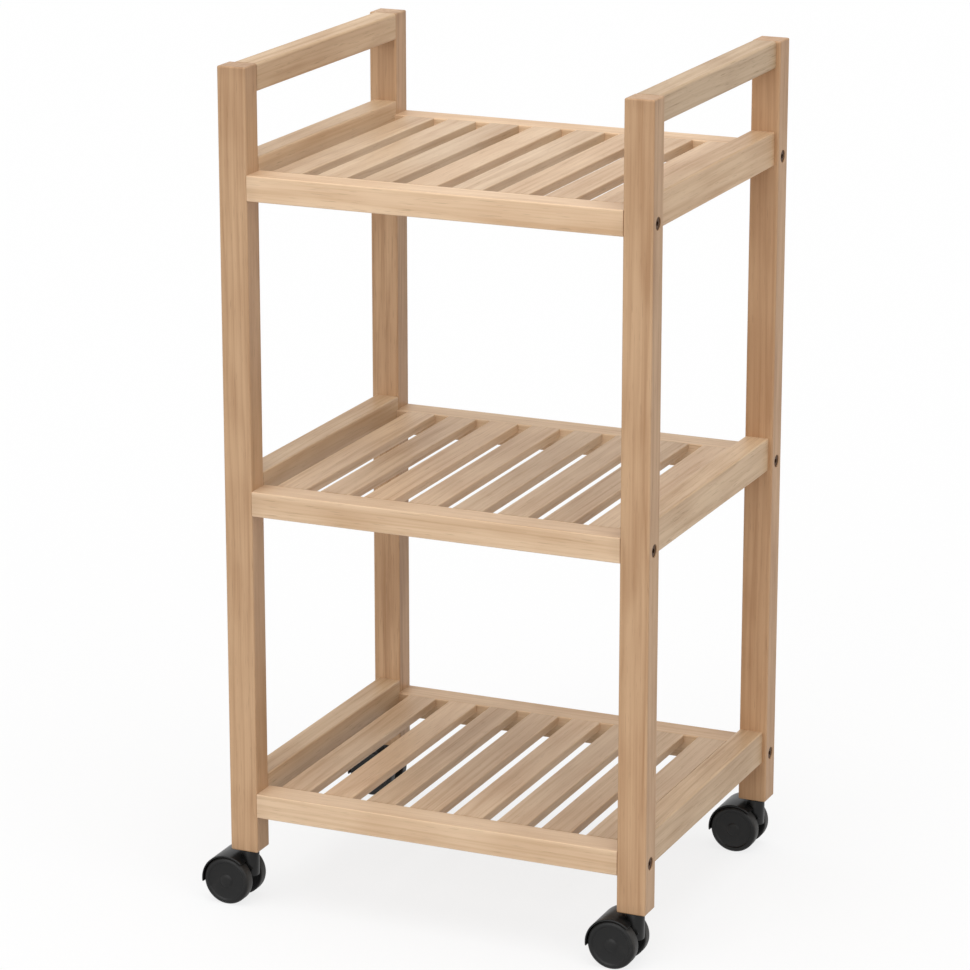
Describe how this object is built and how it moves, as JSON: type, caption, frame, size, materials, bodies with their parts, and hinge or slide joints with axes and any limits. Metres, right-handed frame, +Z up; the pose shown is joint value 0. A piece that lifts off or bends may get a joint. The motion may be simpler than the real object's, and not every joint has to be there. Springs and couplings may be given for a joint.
{
  "type": "utility cart",
  "caption": "Three-tier wooden utility cart with slatted shelves, side handles and swivelling twin-wheel casters.",
  "frame": {"origin": "on the floor, under the middle of the box round the whole cart with its casters trailing left", "axes": "+X along the shelves to the right, -Y the front, +Z up"},
  "size_m": [0.4156, 0.335, 0.7445],
  "materials": {
    "pale_wood": "sanded, thin matt oil",
    "bronzed_steel": "dark bronze plating, satin",
    "stem_steel": "zinc plated",
    "hood_plastic": "moulded black nylon, satin",
    "wheel_plastic": "moulded black nylon, fine grain"
  },
  "bodies": {
    "frame": {"leg_front_left": "pale_wood", "leg_front_right": "pale_wood", "leg_back_left": "pale_wood", "leg_back_right": "pale_wood", "handle_left": "pale_wood", "handle_right": "pale_wood", "side_rail_bottom_left": "pale_wood", "side_rail_bottom_right": "pale_wood", "side_rail_middle_left": "pale_wood", "side_rail_middle_right": "pale_wood", "side_rail_top_left": "pale_wood", "side_rail_top_right": "pale_wood", "front_rail_bottom": "pale_wood", "front_rail_middle": "pale_wood", "front_rail_top": "pale_wood", "back_rail_bottom": "pale_wood", "back_rail_middle": "pale_wood", "back_rail_top": "pale_wood", "slat_bottom_1": "pale_wood", "slat_bottom_2": "pale_wood", "slat_bottom_3": "pale_wood", "slat_bottom_4": "pale_wood", "slat_bottom_5": "pale_wood", "slat_bottom_6": "pale_wood", "slat_bottom_7": "pale_wood", "slat_bottom_8": "pale_wood", "slat_middle_1": "pale_wood", "slat_middle_2": "pale_wood", "slat_middle_3": "pale_wood", "slat_middle_4": "pale_wood", "slat_middle_5": "pale_wood", "slat_middle_6": "pale_wood", "slat_middle_7": "pale_wood", "slat_middle_8": "pale_wood", "slat_top_1": "pale_wood", "slat_top_2": "pale_wood", "slat_top_3": "pale_wood", "slat_top_4": "pale_wood", "slat_top_5": "pale_wood", "slat_top_6": "pale_wood", "slat_top_7": "pale_wood", "slat_top_8": "pale_wood", "shelf_bolts": "bronzed_steel", "caster_stems": "stem_steel"},
    "caster_front_left": {"caster_hood_front_left": "hood_plastic", "caster_axle_front_left": "stem_steel"},
    "roller_front_left_1": {"wheel_front_left_1": "wheel_plastic"},
    "roller_front_left_2": {"wheel_front_left_2": "wheel_plastic"},
    "caster_front_right": {"caster_hood_front_right": "hood_plastic", "caster_axle_front_right": "stem_steel"},
    "roller_front_right_1": {"wheel_front_right_1": "wheel_plastic"},
    "roller_front_right_2": {"wheel_front_right_2": "wheel_plastic"},
    "caster_back_left": {"caster_hood_back_left": "hood_plastic", "caster_axle_back_left": "stem_steel"},
    "roller_back_left_1": {"wheel_back_left_1": "wheel_plastic"},
    "roller_back_left_2": {"wheel_back_left_2": "wheel_plastic"},
    "caster_back_right": {"caster_hood_back_right": "hood_plastic", "caster_axle_back_right": "stem_steel"},
    "roller_back_right_1": {"wheel_back_right_1": "wheel_plastic"},
    "roller_back_right_2": {"wheel_back_right_2": "wheel_plastic"}
  },
  "joints": [
    {"name": "swivel_front_left", "type": "hinge", "parent": "frame", "child": "caster_front_left", "pos_m": [-0.16915, -0.1485, 0.0265], "axis": [0, 0, 1], "continuous": true},
    {"name": "roll_front_left_1", "type": "hinge", "parent": "caster_front_left", "child": "roller_front_left_1", "pos_m": [-0.18415, -0.16225, 0.0215], "axis": [0, 1, 0], "continuous": true},
    {"name": "roll_front_left_2", "type": "hinge", "parent": "caster_front_left", "child": "roller_front_left_2", "pos_m": [-0.18415, -0.13475, 0.0215], "axis": [0, 1, 0], "continuous": true},
    {"name": "swivel_front_right", "type": "hinge", "parent": "frame", "child": "caster_front_right", "pos_m": [0.19485, -0.1485, 0.0265], "axis": [0, 0, 1], "continuous": true},
    {"name": "roll_front_right_1", "type": "hinge", "parent": "caster_front_right", "child": "roller_front_right_1", "pos_m": [0.17985, -0.16225, 0.0215], "axis": [0, 1, 0], "continuous": true},
    {"name": "roll_front_right_2", "type": "hinge", "parent": "caster_front_right", "child": "roller_front_right_2", "pos_m": [0.17985, -0.13475, 0.0215], "axis": [0, 1, 0], "continuous": true},
    {"name": "swivel_back_left", "type": "hinge", "parent": "frame", "child": "caster_back_left", "pos_m": [-0.16915, 0.1485, 0.0265], "axis": [0, 0, 1], "continuous": true},
    {"name": "roll_back_left_1", "type": "hinge", "parent": "caster_back_left", "child": "roller_back_left_1", "pos_m": [-0.18415, 0.13475, 0.0215], "axis": [0, 1, 0], "continuous": true},
    {"name": "roll_back_left_2", "type": "hinge", "parent": "caster_back_left", "child": "roller_back_left_2", "pos_m": [-0.18415, 0.16225, 0.0215], "axis": [0, 1, 0], "continuous": true},
    {"name": "swivel_back_right", "type": "hinge", "parent": "frame", "child": "caster_back_right", "pos_m": [0.19485, 0.1485, 0.0265], "axis": [0, 0, 1], "continuous": true},
    {"name": "roll_back_right_1", "type": "hinge", "parent": "caster_back_right", "child": "roller_back_right_1", "pos_m": [0.17985, 0.13475, 0.0215], "axis": [0, 1, 0], "continuous": true},
    {"name": "roll_back_right_2", "type": "hinge", "parent": "caster_back_right", "child": "roller_back_right_2", "pos_m": [0.17985, 0.16225, 0.0215], "axis": [0, 1, 0], "continuous": true}
  ]
}
